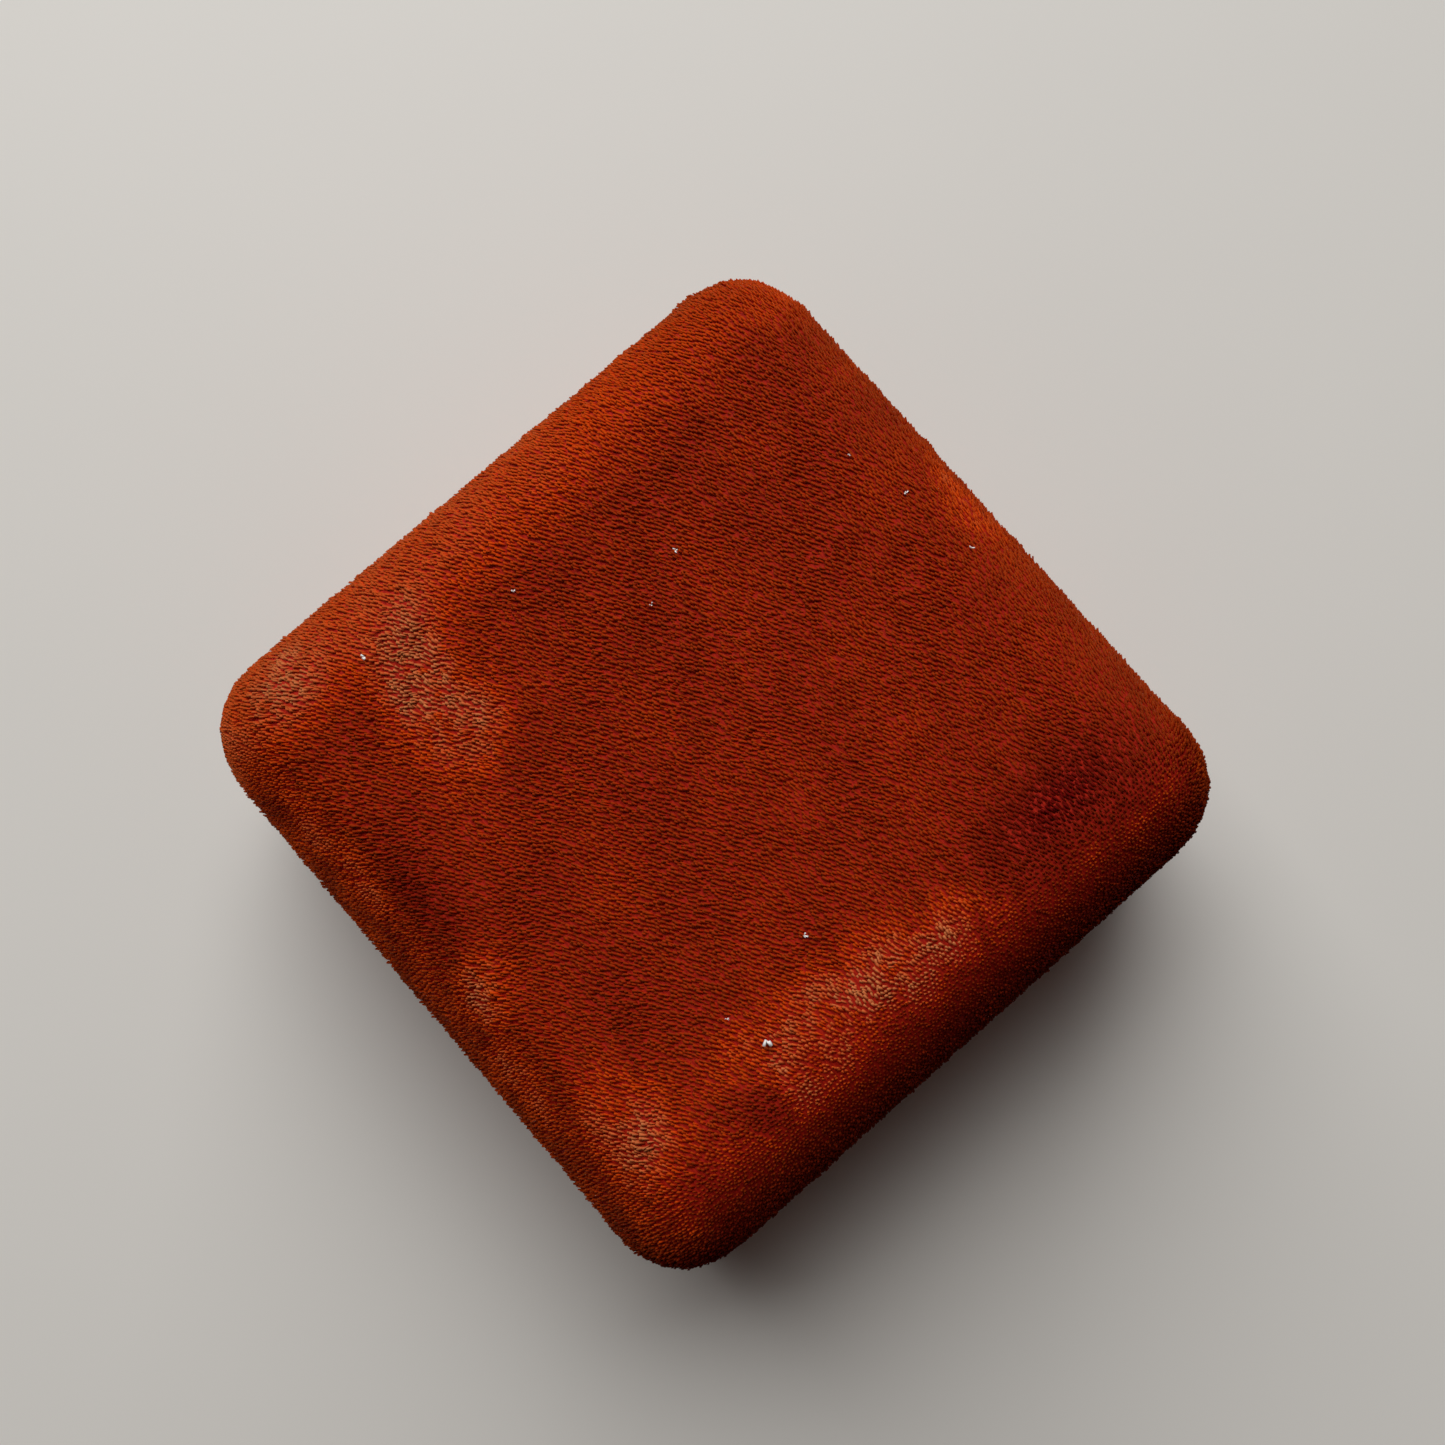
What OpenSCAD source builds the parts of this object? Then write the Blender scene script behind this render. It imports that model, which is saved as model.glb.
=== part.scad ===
// Velvet-covered jewellery case with a domed lid, a pinned back hinge and two bow springs that snap it shut.
// Millimetres. The case stands on Z = 0, centred on the origin, with its hinge at the back (+Y).
// Round-cornered rings are one cross-section carried round a square: its x is the distance outwards from the
// line through the corner centres, and its y is the height.

/* [Case] */
// Side of the square case at its widest
side = 70; // [60:1:90]
// Height of the closed case, at the middle of the crowned lid
case_h = 34; // [32:0.5:40]
// Height of the seam between the base and the lid
seam_z = 17; // [16:0.5:18]
// Radius of the upright corners and of the lid's shoulder
corner_r = 9.5; // [9:0.25:11]
// Rise of the lid's padded top above its shoulder
crown = 0.8; // [0.4:0.1:1.5]
// How far each side of the base draws in towards the bottom
base_taper = 0.6; // [0.2:0.1:0.8]
// Radius of the bottom edge
bottom_r = 5; // [4:0.25:5.5]

/* [Layers] */
// Velvet, backing and pile together
velvet_t = 1.2; // [1:0.1:1.3]
// Moulded shell
shell_t = 1; // [0.8:0.1:1.1]
// Sheet metal of the two rims
rim_t = 0.4; // [0.3:0.05:0.45]
// Height of the rims' standing legs
rim_h = 3.4; // [3:0.1:4]
// Wadding between the lid's shell and its velvet
wadding_t = 1.2; // [1:0.1:1.4]
// Satin-faced card round the inside walls
lining_t = 0.6; // [0.4:0.1:0.7]
// Card boards
board_t = 1; // [0.8:0.1:1.1]
// Leatherette under the base
sheet_t = 0.6; // [0.5:0.1:0.7]

/* [Hinge] */
// Length of the hinge barrel
hinge_len = 24; // [20:1:26]
// Knuckles in the barrel, the outer two on the base
knuckles = 5; // [3:2:7]
// Outer radius of the knuckles
knuckle_r = 1; // [0.9:0.05:1.05]
// Radius of the hinge pin
pin_r = 0.5; // [0.4:0.05:0.55]
// Radial clearance of the lid's knuckles on the pin
pin_play = 0.05; // [0.03:0.01:0.08]

/* [Springs] */
// Distance of each bow spring from the middle of the case
spring_x = 17; // [16:0.5:18]
// Width of the spring strip
spring_w = 6; // [5:0.5:6]
// Thickness of the spring strip
spring_t = 0.3; // [0.2:0.05:0.35]
// Height of each spring tongue above or below the seam
tongue_z = 2; // [1.8:0.1:2.1]

/* [Insert] */
// Top of the ring cushion below the seam
cushion_drop = 4.8; // [4.5:0.1:6]
// Velvet round each half of the cushion
cushion_velvet_t = 1; // [0.8:0.1:1.2]
// Gap between the two halves, which holds a ring
ring_gap = 1.2; // [1:0.1:2]

/* [Hidden] */
$fn = 64;
slack = 0.1;
rest_gap = 0.1;

flat = side / 2 - corner_r;
r_out = corner_r;
r_shell = r_out - velvet_t;
r_wall = r_shell - shell_t;
r_rim = r_wall - rim_t;
r_lining = r_rim - base_taper / 2;
r_insert = r_lining - lining_t - slack;

dome_top = case_h - crown;
lid_low = seam_z + rest_gap + rim_t;
base_high = seam_z - rest_gap - rim_t;
taper_top = seam_z - rest_gap - rim_h - 0.5;
turn_in = 0.8;
flange_out = r_shell + 0.1;
edge_rise = 0.95;

shell_top = dome_top - velvet_t - wadding_t;
wadding_low = 5;
lid_ceiling = shell_top - shell_t;
lid_board_low = lid_ceiling - 0.6 - board_t;
lid_puff_t = 2;
satin_t = 1;
satin_low = lid_board_low - lid_puff_t - satin_t;

velvet_low = 0.3;
floor_low = velvet_low + velvet_t;
floor_top = floor_low + shell_t;
cushion_top = seam_z - cushion_drop;
turned_under = r_out - base_taper - bottom_r - 2.5;

// The cushion's board rests on the round edge of the shell's floor.
inner_edge = bottom_r - velvet_t - shell_t;
board_r = r_insert - 0.15;
board_reach = board_r - (r_wall - base_taper - inner_edge);
insert_low = floor_top + inner_edge - sqrt(pow(inner_edge, 2) - pow(board_reach, 2)) + slack;

hinge_y = flat + r_shell + 0.2;
pitch = hinge_len / knuckles;
knuckle_gap = 0.2;
relief_r = knuckle_r + 0.25;
tongue_len = 1.2;
bow_r = tongue_z + rim_t / 2 + spring_t;

// ---- shared shapes ----

// Carries a cross-section round the rounded square: four straight sides and four quarter-turned corners.
module carry() {
    for (i = [0:3])
        rotate([0, 0, 90 * i])
            translate([flat, flat, 0]) {
                rotate([90, 0, 0])
                    linear_extrude(2 * flat)
                        children();
                rotate_extrude(angle = 90)
                    children();
            }
}

// Fills the square inside the corner centres from one height to another.
module core(low, high) {
    translate([-flat, -flat, low])
        cube([2 * flat, 2 * flat, high - low]);
}

// Rounded-square slab whose edge lies r outside the corner centres.
module slab(r, low, high) {
    translate([0, 0, low])
        linear_extrude(high - low)
            union() {
                square([2 * (flat + r), 2 * flat], center = true);
                square([2 * flat, 2 * (flat + r)], center = true);
                for (x = [-flat, flat], y = [-flat, flat])
                    translate([x, y])
                        circle(r);
            }
}

// Cross-section of a wall that turns in over a round shoulder of its own radius.
module dome_section(r, top, low) {
    translate([0, low])
        square([r, top - r - low]);
    intersection() {
        translate([0, top - r])
            circle(r);
        translate([0, top - r])
            square([r, r]);
    }
}

// Cross-section of a wall that is upright behind the rim's leg and draws in below it to a round bottom edge.
module bowl_section(r, edge, low, high) {
    foot = r - base_taper;
    polygon([[0, low + edge], [foot, low + edge], [r, taper_top], [r, high], [0, high]]);
    translate([0, low])
        square([foot - edge, edge]);
    intersection() {
        translate([foot - edge, low + edge])
            circle(edge);
        translate([foot - edge, low])
            square([edge, edge]);
    }
}

// Cross-section cut off a shell's outer edge, so that lid and base clear each other as the lid opens.
module edge_cut(z, way) {
    polygon([
        [flange_out, z],
        [r_out, z + way * edge_rise],
        [r_out + 1, z + way * edge_rise],
        [r_out + 1, z - way],
        [flange_out, z - way]
    ]);
}

// Sheet-metal rim: a leg inside the wall and a flange over the velvet's turned-in edge.
module rim_section(way) {
    face = seam_z + way * rest_gap;
    translate([r_rim, way > 0 ? face : face - rim_h])
        square([rim_t, rim_h]);
    translate([r_rim, way > 0 ? face : face - rim_t])
        square([flange_out - r_rim, rim_t]);
}

// Cylinder on the hinge axis, centred at x.
module on_axis(x, length, r) {
    translate([x - length / 2, hinge_y, seam_z])
        rotate([0, 90, 0])
            cylinder(h = length, r = r);
}

function knuckle_x(i) = -hinge_len / 2 + pitch * (i + 0.5);

// Knuckles of one rim. The base has the even ones and the lid the odd ones.
module knuckle_row(first) {
    for (i = [first:2:knuckles - 1])
        on_axis(knuckle_x(i), pitch - knuckle_gap, knuckle_r);
}

// Room in one rim for the other rim's knuckles.
module knuckle_room(first) {
    for (i = [first:2:knuckles - 1])
        on_axis(knuckle_x(i), pitch + knuckle_gap, knuckle_r + 0.2);
}

// Tongues pressed inwards from a rim's leg, which the bow springs grip.
module tongues(way) {
    for (x = [-spring_x, spring_x])
        translate([
            x - spring_w / 2 + 0.6,
            flat + r_rim - tongue_len,
            seam_z + way * tongue_z - rim_t / 2
        ])
            cube([spring_w - 1.2, tongue_len + rim_t / 2, rim_t]);
}

// Hinge room cut out of the velvet and the shells along the barrel.
module hinge_relief() {
    on_axis(0, hinge_len + 0.6, relief_r);
}

// C-shaped spring strip, with flat arms outside the two tongues.
module bow_spring(x) {
    bow_y = flat + r_rim - tongue_len + 0.2;
    translate([x - spring_w / 2, 0, 0])
        rotate([90, 0, 90])
            linear_extrude(spring_w)
                translate([bow_y, seam_z]) {
                    difference() {
                        circle(bow_r);
                        circle(bow_r - spring_t);
                        translate([0, -bow_r - 1])
                            square(2 * bow_r + 2);
                    }
                    for (z = [-bow_r, bow_r - spring_t])
                        translate([0, z])
                            square([tongue_len - 0.4, spring_t]);
                }
}

// Everything further than a distance in front of or behind the middle of the case.
module beyond(way, distance) {
    translate([-side, way > 0 ? distance : -distance - side, 0])
        cube([2 * side, side, case_h]);
}

// ---- lid ----

module lid_shell() {
    color("dimgray") {
        difference() {
            union() {
                carry()
                    difference() {
                        dome_section(r_shell, shell_top, lid_low + turn_in);
                        dome_section(r_wall, lid_ceiling, lid_low + turn_in - 1);
                    }
                core(lid_ceiling, shell_top);
            }
            hinge_relief();
        }
    }
}

module lid_wadding() {
    color("whitesmoke") {
        carry()
            difference() {
                dome_section(r_shell, dome_top - velvet_t, seam_z);
                dome_section(r_shell, shell_top, seam_z - 1);
                translate([0, seam_z - 1])
                    square([r_out, shell_top - wadding_low - seam_z + 1]);
            }
        core(shell_top, dome_top - velvet_t);
    }
}

// Shallow round cap of the given rise, which meets the flat top just inside its straight edges.
module crown_cap(rise) {
    foot = flat - 1;
    cap_r = (pow(foot, 2) + pow(rise, 2)) / (2 * rise);
    rotate_extrude($fn = 96)
        intersection() {
            translate([0, dome_top + rise - cap_r])
                circle(cap_r, $fn = 720);
            translate([0, dome_top - velvet_t / 2])
                square([foot + 0.5, velvet_t / 2 + rise + 1]);
        }
}

module lid_velvet() {
    color([0.62, 0.19, 0.06]) {
        difference() {
            union() {
                carry()
                    difference() {
                        dome_section(r_out, dome_top, lid_low);
                        dome_section(r_shell, dome_top - velvet_t, lid_low + turn_in);
                        translate([0, lid_low - 1])
                            square([r_wall, turn_in + 2]);
                        edge_cut(lid_low, 1);
                    }
                core(dome_top - velvet_t, dome_top);
                crown_cap(crown);
            }
            hinge_relief();
        }
    }
}

module lid_rim() {
    color("gold")
        difference() {
            union() {
                carry()
                    rim_section(1);
                knuckle_row(1);
                tongues(1);
            }
            knuckle_room(0);
            on_axis(0, hinge_len + 2, pin_r + pin_play);
        }
}

module lid_side_lining() {
    low = seam_z + tongue_z + rim_t / 2 + spring_t + 0.3;
    color("ivory")
        carry()
            translate([r_lining - lining_t, low])
                square([lining_t, 4.8]);
}

module lid_pad_board() {
    color("tan")
        slab(2.6, lid_board_low, lid_board_low + board_t);
}

module lid_pad_wadding() {
    color("white")
        slab(4.2, lid_board_low - lid_puff_t, lid_board_low);
}

module lid_pad_satin() {
    edge_r = 5.2;
    color("ivory")
        difference() {
            slab(edge_r, satin_low, lid_board_low - 0.6);
            slab(4.2, satin_low + satin_t, lid_board_low);
        }
}

// ---- base ----

module base_shell() {
    color("dimgray") {
        carry()
            difference() {
                bowl_section(r_shell, bottom_r - velvet_t, floor_low, base_high - turn_in);
                bowl_section(r_wall, bottom_r - velvet_t - shell_t, floor_top, base_high - turn_in + 0.01);
            }
        core(floor_low, floor_top);
    }
}

module base_velvet() {
    color([0.5, 0.13, 0.05])
        difference() {
            carry()
                difference() {
                    bowl_section(r_out, bottom_r, velvet_low, base_high);
                    bowl_section(r_shell, bottom_r - velvet_t, floor_low, base_high - turn_in);
                    translate([0, base_high - turn_in - 1])
                        square([r_wall, turn_in + 2]);
                    square([turned_under, floor_low + 1]);
                    edge_cut(base_high, -1);
                }
            hinge_relief();
        }
}

module bottom_board() {
    color("tan")
        slab(turned_under - slack, sheet_t, floor_low);
}

module bottom_sheet() {
    color("saddlebrown") {
        slab(r_out - base_taper - bottom_r, 0, velvet_low);
        slab(turned_under - slack, 0, sheet_t);
    }
}

module base_rim() {
    color("gold")
        difference() {
            union() {
                carry()
                    rim_section(-1);
                knuckle_row(0);
                tongues(-1);
            }
            knuckle_room(1);
            on_axis(0, hinge_len + 2, pin_r);
        }
}

module hinge_pin() {
    color("silver")
        on_axis(0, hinge_len, pin_r);
}

module bow_spring_left() {
    color("lightsteelblue")
        bow_spring(-spring_x);
}

module bow_spring_right() {
    color("lightsteelblue")
        bow_spring(spring_x);
}

module base_side_lining() {
    high = seam_z - tongue_z - rim_t / 2 - spring_t - 0.1;
    low = floor_low + bottom_r - velvet_t - 0.2;
    color("ivory")
        carry()
            translate([r_lining - lining_t, low])
                square([lining_t, high - low]);
}

// ---- ring cushion ----

module cushion_board() {
    color("tan")
        slab(board_r, insert_low, insert_low + board_t);
}

// One half of the cushion's foam, standing on the board.
module foam_half(way) {
    intersection() {
        slab(r_insert - cushion_velvet_t, insert_low + board_t, cushion_top - cushion_velvet_t);
        beyond(way, ring_gap / 2 + cushion_velvet_t);
    }
}

module cushion_foam_front() {
    color("khaki")
        foam_half(-1);
}

module cushion_foam_back() {
    color("khaki")
        foam_half(1);
}

// Velvet folded over one half of the foam, open underneath.
module velvet_half(way) {
    difference() {
        intersection() {
            slab(r_insert, insert_low + board_t, cushion_top);
            beyond(way, ring_gap / 2);
        }
        foam_half(way);
    }
}

module cushion_velvet_front() {
    color("maroon")
        velvet_half(-1);
}

module cushion_velvet_back() {
    color("maroon")
        velvet_half(1);
}

lid_shell();
lid_wadding();
lid_velvet();
lid_rim();
lid_side_lining();
lid_pad_board();
lid_pad_wadding();
lid_pad_satin();
base_shell();
base_velvet();
bottom_board();
bottom_sheet();
base_rim();
hinge_pin();
bow_spring_left();
bow_spring_right();
base_side_lining();
cushion_board();
cushion_foam_front();
cushion_foam_back();
cushion_velvet_front();
cushion_velvet_back();
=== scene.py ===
"""A velvet-covered jewellery case, put together from its base upwards."""

import bpy
import numpy as np
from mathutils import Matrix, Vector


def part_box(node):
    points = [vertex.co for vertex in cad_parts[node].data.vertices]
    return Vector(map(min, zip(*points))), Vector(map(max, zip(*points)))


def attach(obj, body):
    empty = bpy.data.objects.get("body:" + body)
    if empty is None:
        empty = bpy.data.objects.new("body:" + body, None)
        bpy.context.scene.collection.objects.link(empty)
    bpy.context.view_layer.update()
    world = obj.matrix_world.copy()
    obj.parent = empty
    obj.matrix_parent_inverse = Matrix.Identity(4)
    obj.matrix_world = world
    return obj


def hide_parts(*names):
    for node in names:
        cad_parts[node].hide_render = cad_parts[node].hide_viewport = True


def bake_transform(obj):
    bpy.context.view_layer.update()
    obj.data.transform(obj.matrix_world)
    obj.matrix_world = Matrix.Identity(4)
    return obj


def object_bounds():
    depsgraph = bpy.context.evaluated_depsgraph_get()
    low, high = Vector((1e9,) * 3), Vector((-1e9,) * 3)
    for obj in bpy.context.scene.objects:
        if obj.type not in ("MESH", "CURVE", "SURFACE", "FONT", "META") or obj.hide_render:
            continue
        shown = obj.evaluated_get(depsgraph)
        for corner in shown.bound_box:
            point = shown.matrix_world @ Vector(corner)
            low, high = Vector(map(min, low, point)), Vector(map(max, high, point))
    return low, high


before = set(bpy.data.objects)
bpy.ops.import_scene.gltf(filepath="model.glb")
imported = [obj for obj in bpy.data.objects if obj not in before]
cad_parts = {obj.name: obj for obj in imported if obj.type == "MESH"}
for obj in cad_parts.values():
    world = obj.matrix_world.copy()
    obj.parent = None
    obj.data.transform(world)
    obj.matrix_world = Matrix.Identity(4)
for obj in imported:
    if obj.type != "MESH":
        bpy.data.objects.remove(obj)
cad_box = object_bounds()

# ---------------------------------------------------------------------------------------------
# Underside. A board fills the opening that the turned-under velvet leaves, and a sheet of thin
# leatherette is glued over both. The case rests on it.

MM = 0.001
QUARTER = np.pi / 2
SIDE = cad_box[1][0] - cad_box[0][0]
CORNER = 9.5 * MM
FLAT = SIDE / 2 - CORNER
PIN_LOW, PIN_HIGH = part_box("hinge_pin")
SEAM = (PIN_LOW.z + PIN_HIGH.z) / 2
PIN_Y = (PIN_LOW.y + PIN_HIGH.y) / 2


def add_node(tree, kind, inputs=None, **settings):
    """Adds a shader node. An input is linked if it is given another node's socket, or else set."""
    made = tree.nodes.new("ShaderNode" + kind)
    for name, value in settings.items():
        setattr(made, name, value)
    for name, value in (inputs or {}).items():
        if isinstance(value, bpy.types.NodeSocket):
            tree.links.new(value, made.inputs[name])
        else:
            made.inputs[name].default_value = value
    return made


def start_finish(name, **sockets):
    """A new finish: its material, its node tree and its shader, with the steady values set."""
    material = bpy.data.materials.new(name)
    material.use_nodes = True
    shader = material.node_tree.nodes["Principled BSDF"]
    for socket, value in sockets.items():
        shader.inputs[socket.replace("_", " ")].default_value = value
    return material, material.node_tree, shader


def two_tone(tree, share, first, second):
    """The colour between two linear colours at a share from 0 to 1."""
    inputs = {"Fac": share, "Color1": (*first, 1), "Color2": (*second, 1)}
    return add_node(tree, "MixRGB", inputs).outputs["Color"]


def spread(tree, value, low, high):
    """A value from 0 to 1 moved to the range from low to high."""
    inputs = {"Value": value, "To Min": low, "To Max": high}
    return add_node(tree, "MapRange", inputs).outputs["Result"]


def grain(tree, per_metre, detail=3.0, stretch=(1, 1, 1), rough=0.5):
    """Noise in the object's own coordinates, with that many waves to the metre along each axis."""
    place = add_node(tree, "TexCoord").outputs["Object"]
    scaled = add_node(tree, "Mapping", {"Vector": place, "Scale": stretch}).outputs["Vector"]
    inputs = {"Vector": scaled, "Scale": per_metre, "Detail": detail, "Roughness": rough}
    return add_node(tree, "TexNoise", inputs).outputs["Fac"]


def raise_bumps(tree, shader, height, depth, strength=0.5):
    """Small relief of a given depth in metres, from a height between 0 and 1."""
    bump = add_node(tree, "Bump", {"Height": height, "Strength": strength, "Distance": depth})
    tree.links.new(bump.outputs["Normal"], shader.inputs["Normal"])


def paint(node, material):
    """Gives a CAD node one finish in place of its packed ones."""
    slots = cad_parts[node].data.materials
    slots.clear()
    slots.append(material)


def build(name, points, *faces):
    """A mesh object at the origin, from an array of points and arrays of faces with like corners."""
    mesh = bpy.data.meshes.new(name)
    corners = np.concatenate([face.ravel() for face in faces]).astype(np.int32)
    counts = np.concatenate([np.full(len(face), face.shape[1]) for face in faces])
    mesh.vertices.add(len(points))
    mesh.vertices.foreach_set("co", np.asarray(points, np.float32).ravel())
    mesh.loops.add(len(corners))
    mesh.loops.foreach_set("vertex_index", corners)
    mesh.polygons.add(len(counts))
    mesh.polygons.foreach_set("loop_start", (np.cumsum(counts) - counts).astype(np.int32))
    mesh.polygons.foreach_set("use_smooth", np.ones(len(counts), bool))
    mesh.update(calc_edges=True)
    piece = bpy.data.objects.new(name, mesh)
    bpy.context.scene.collection.objects.link(piece)
    return piece


def settle(piece, material, body, slot, *nodes):
    """Finishes a piece: its material, the body it rides on and the solids it stands for. slot is not
    used.
    """
    piece.data.materials.append(material)
    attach(piece, body)
    if nodes:
        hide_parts(*nodes)
    return piece


def quads(rows, columns, round_rows=False):
    """The four-cornered faces of a grid of points, whose last row may join its first."""
    row = np.arange(rows if round_rows else rows - 1)[:, None]
    column = np.arange(columns - 1)[None, :]
    next_row = (row + 1) % rows
    corners = (row * columns + column, next_row * columns + column,
               next_row * columns + column + 1, row * columns + column + 1)
    return np.stack([corner.ravel() for corner in corners], -1)


def outline(low, high, radii, arc=14, side=56):
    """Points round a rectangle with rounded corners, and the outward direction at each. The
    corners come in turn from the one at the high ends: each is a quarter circle about a point
    one radius in from both sides, and the points of a side are evenly spaced between two."""
    edge, outward = [], []
    for turn, radius in enumerate(radii):
        sign = np.array([(1, 1), (-1, 1), (-1, -1), (1, -1)][turn])
        angle = (turn + np.linspace(0, 1, arc)) * QUARTER
        normal = np.stack([np.cos(angle), np.sin(angle)], -1)
        edge.append(np.where(sign > 0, high, low) - sign * radius + radius * normal)
        outward.append(normal)
    share = np.arange(1, side)[:, None] / side
    for turn in range(4):
        start, end = edge[2 * turn][-1], edge[(2 * turn + 1) % len(edge)][0]
        edge.insert(2 * turn + 1, start + share * (end - start))
        outward.insert(2 * turn + 1, np.tile(outward[2 * turn][-1], (side - 1, 1)))
    return np.concatenate(edge), np.concatenate(outward)


def stack_rings(name, border, inset, scale, height, middle=(0, 0)):
    """A closed form of rings that run round a border. Each ring is the border drawn in by its
    inset, scaled about the middle and set at its height. A fan closes each end at the middle.
    Rings that go from the underside outwards, up and in again leave their faces outwards."""
    edge, outward = border
    middle = np.array(middle, float)
    inset, scale = (np.asarray(values, float)[None, :, None] for values in (inset, scale))
    height = np.broadcast_to(height, (len(edge), inset.shape[1]))
    flat = middle + (edge[:, None] - outward[:, None] * inset - middle) * scale
    points = np.concatenate([flat, height[..., None]], -1).reshape(-1, 3)
    rows, columns = height.shape
    poles = [[*middle, height[:, 0].mean()], [*middle, height[:, -1].mean()]]
    first = np.arange(rows) * columns
    following = np.roll(first, -1)
    fans = [np.stack([np.full(rows, rows * columns), following, first], -1),
            np.stack([first + columns - 1, following + columns - 1,
                      np.full(rows, rows * columns + 1)], -1)]
    return build(name, np.concatenate([points, poles]), quads(rows, columns, True), *fans)


def leatherette():
    """Pressed grain: pebbles about 0.7 mm across, with painted shade in the creases between them."""
    material, tree, shader = start_finish("leatherette", Specular_IOR_Level=0.35)
    place = add_node(tree, "TexCoord").outputs["Object"]
    pebbles = add_node(tree, "TexVoronoi", {"Vector": place, "Scale": 1400, "Randomness": 0.9})
    height = pebbles.outputs["Distance"]
    tree.links.new(two_tone(tree, height, (0.06, 0.02, 0.01), (0.016, 0.006, 0.004)),
                   shader.inputs["Base Color"])
    tree.links.new(spread(tree, grain(tree, 300), 0.42, 0.62), shader.inputs["Roughness"])
    raise_bumps(tree, shader, spread(tree, height, 1, 0), 0.12 * MM)
    return material


def grey_board():
    """Pasted board: a dull brown-grey with darker fibres."""
    material, tree, shader = start_finish("grey_board", Specular_IOR_Level=0.2)
    fibres = grain(tree, 900, 5, (1, 0.35, 1), 0.7)
    tree.links.new(two_tone(tree, fibres, (0.26, 0.2, 0.14), (0.42, 0.35, 0.26)),
                   shader.inputs["Base Color"])
    tree.links.new(spread(tree, fibres, 0.8, 0.95), shader.inputs["Roughness"])
    raise_bumps(tree, shader, fibres, 0.05 * MM)
    return material


def bottom_leatherette():
    """The sheet: flat on its underside but for a rounded edge, where it is cut and pressed. Rings
    run out from near its middle, up the quarter circle of that edge, and back in on top."""
    low, high = (value / MM for value in (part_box("bottom_sheet")[0].z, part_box("bottom_sheet")[1].z))
    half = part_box("bottom_sheet")[1].x
    border = outline((-half, -half), (half, half), [half - FLAT] * 4)
    rounding, rings = 0.3, 12
    way = np.linspace(0.08, 1, rings)
    turn = np.linspace(0, QUARTER, 6)[1:]
    inset = np.concatenate([np.full(rings, rounding), rounding - rounding * np.sin(turn),
                            np.zeros(rings)])
    scale = np.concatenate([way, np.ones(len(turn)), way[::-1]])
    height = np.concatenate([np.full(rings, low), low + rounding - rounding * np.cos(turn),
                             np.full(rings, high)])
    return stack_rings("bottom_leatherette", border, inset * MM, scale, height * MM)


board_finish = grey_board()
paint("bottom_board", board_finish)
bottom_sheet = settle(bottom_leatherette(), leatherette(), "base", "leatherette", "bottom_sheet")

# ---------------------------------------------------------------------------------------------
# Base shell. A moulded tray of dark styrene with an upright wall behind the rim. The velvet,
# the rim and the lining hide it.


def moulding():
    """Moulded styrene: near black, with a fine spark-eroded texture."""
    material, tree, shader = start_finish("moulding", Specular_IOR_Level=0.4)
    specks = grain(tree, 2500, 2)
    tree.links.new(two_tone(tree, specks, (0.02, 0.02, 0.022), (0.035, 0.034, 0.036)),
                   shader.inputs["Base Color"])
    tree.links.new(spread(tree, specks, 0.45, 0.6), shader.inputs["Roughness"])
    raise_bumps(tree, shader, specks, 0.02 * MM)
    return material


shell_finish = moulding()
paint("base_shell", shell_finish)

# ---------------------------------------------------------------------------------------------
# Base velvet. One cloth is drawn up over the base, glued, and rolled in over the shell's edge.
# Its cloth is a closed sheet whose face is the dense body of the pile. The ends of the pile
# stand on that face as pieces of their own.

PILE = 0.4 * MM
BACKING = 0.8 * MM
TUFT_GAP = 0.42 * MM
LOCK_WIDTH = 0.135 * MM
CORNER_CROWDING = 1.35
NO_LIMIT = 99 * MM
BARREL_HALF = 12.9 * MM
BARREL_ROOM = 1.4 * MM
# In degrees: how far the nap is turned from across, how far it leans over from upright, and how
# much it turns with each millimetre along one way on the flat cloth.
NAP_TURN = 117.0
NAP_LEAN = 75.0
NAP_FAN = 0.45
NAP_FAN_WAY = (0.754, -0.657)
BASE_START = (0.0, 0.3 * MM + PILE)
BASE_PIECES = [
    (4.05 * MM, 0), ((5.0 * MM - PILE) * QUARTER, QUARTER - 0.057), (9.3 * MM, 0.057),
    (1.3 * MM * QUARTER, QUARTER), (0.2 * MM, 0)]


def follow(way, start, pieces):
    """Where a point comes to that goes a way along a run of arcs and straights from (out, height).
    Each piece is its length and how far it turns. Along one, the heading grows evenly, so the
    place is the integral of the heading's cosine and sine. Returns out, height and heading."""
    out, height = (np.full(np.shape(way), value, float) for value in start)
    heading, begun, turned = np.zeros(np.shape(way)), 0.0, 0.0
    for length, turn in pieces:
        gone = np.clip(way - begun, 0, length)
        bend = turn / length
        if turn:
            out += (np.sin(turned + bend * gone) - np.sin(turned)) / bend
            height -= (np.cos(turned + bend * gone) - np.cos(turned)) / bend
        else:
            out += np.cos(turned) * gone
            height += np.sin(turned) * gone
        heading += bend * gone
        begun += length
        turned += turn
    return out, height, heading


def tuck_in(point):
    """The cloth is tucked round the hinge barrel: what would come nearer to its axis than the
    barrel's room is moved straight away from the axis to there. This fades out over the last
    0.5 mm before the barrel's ends."""
    within = np.clip((BARREL_HALF - abs(point[..., 0])) / (0.5 * MM), 0, 1)
    away = point[..., 1:] - (PIN_Y, SEAM)
    distance = np.maximum(np.linalg.norm(away, axis=-1), 1e-6)
    share = within * (np.maximum(BARREL_ROOM / distance, 1) - 1)
    return np.concatenate([point[..., :1], point[..., 1:] + away * share[..., None]], -1)


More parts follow.
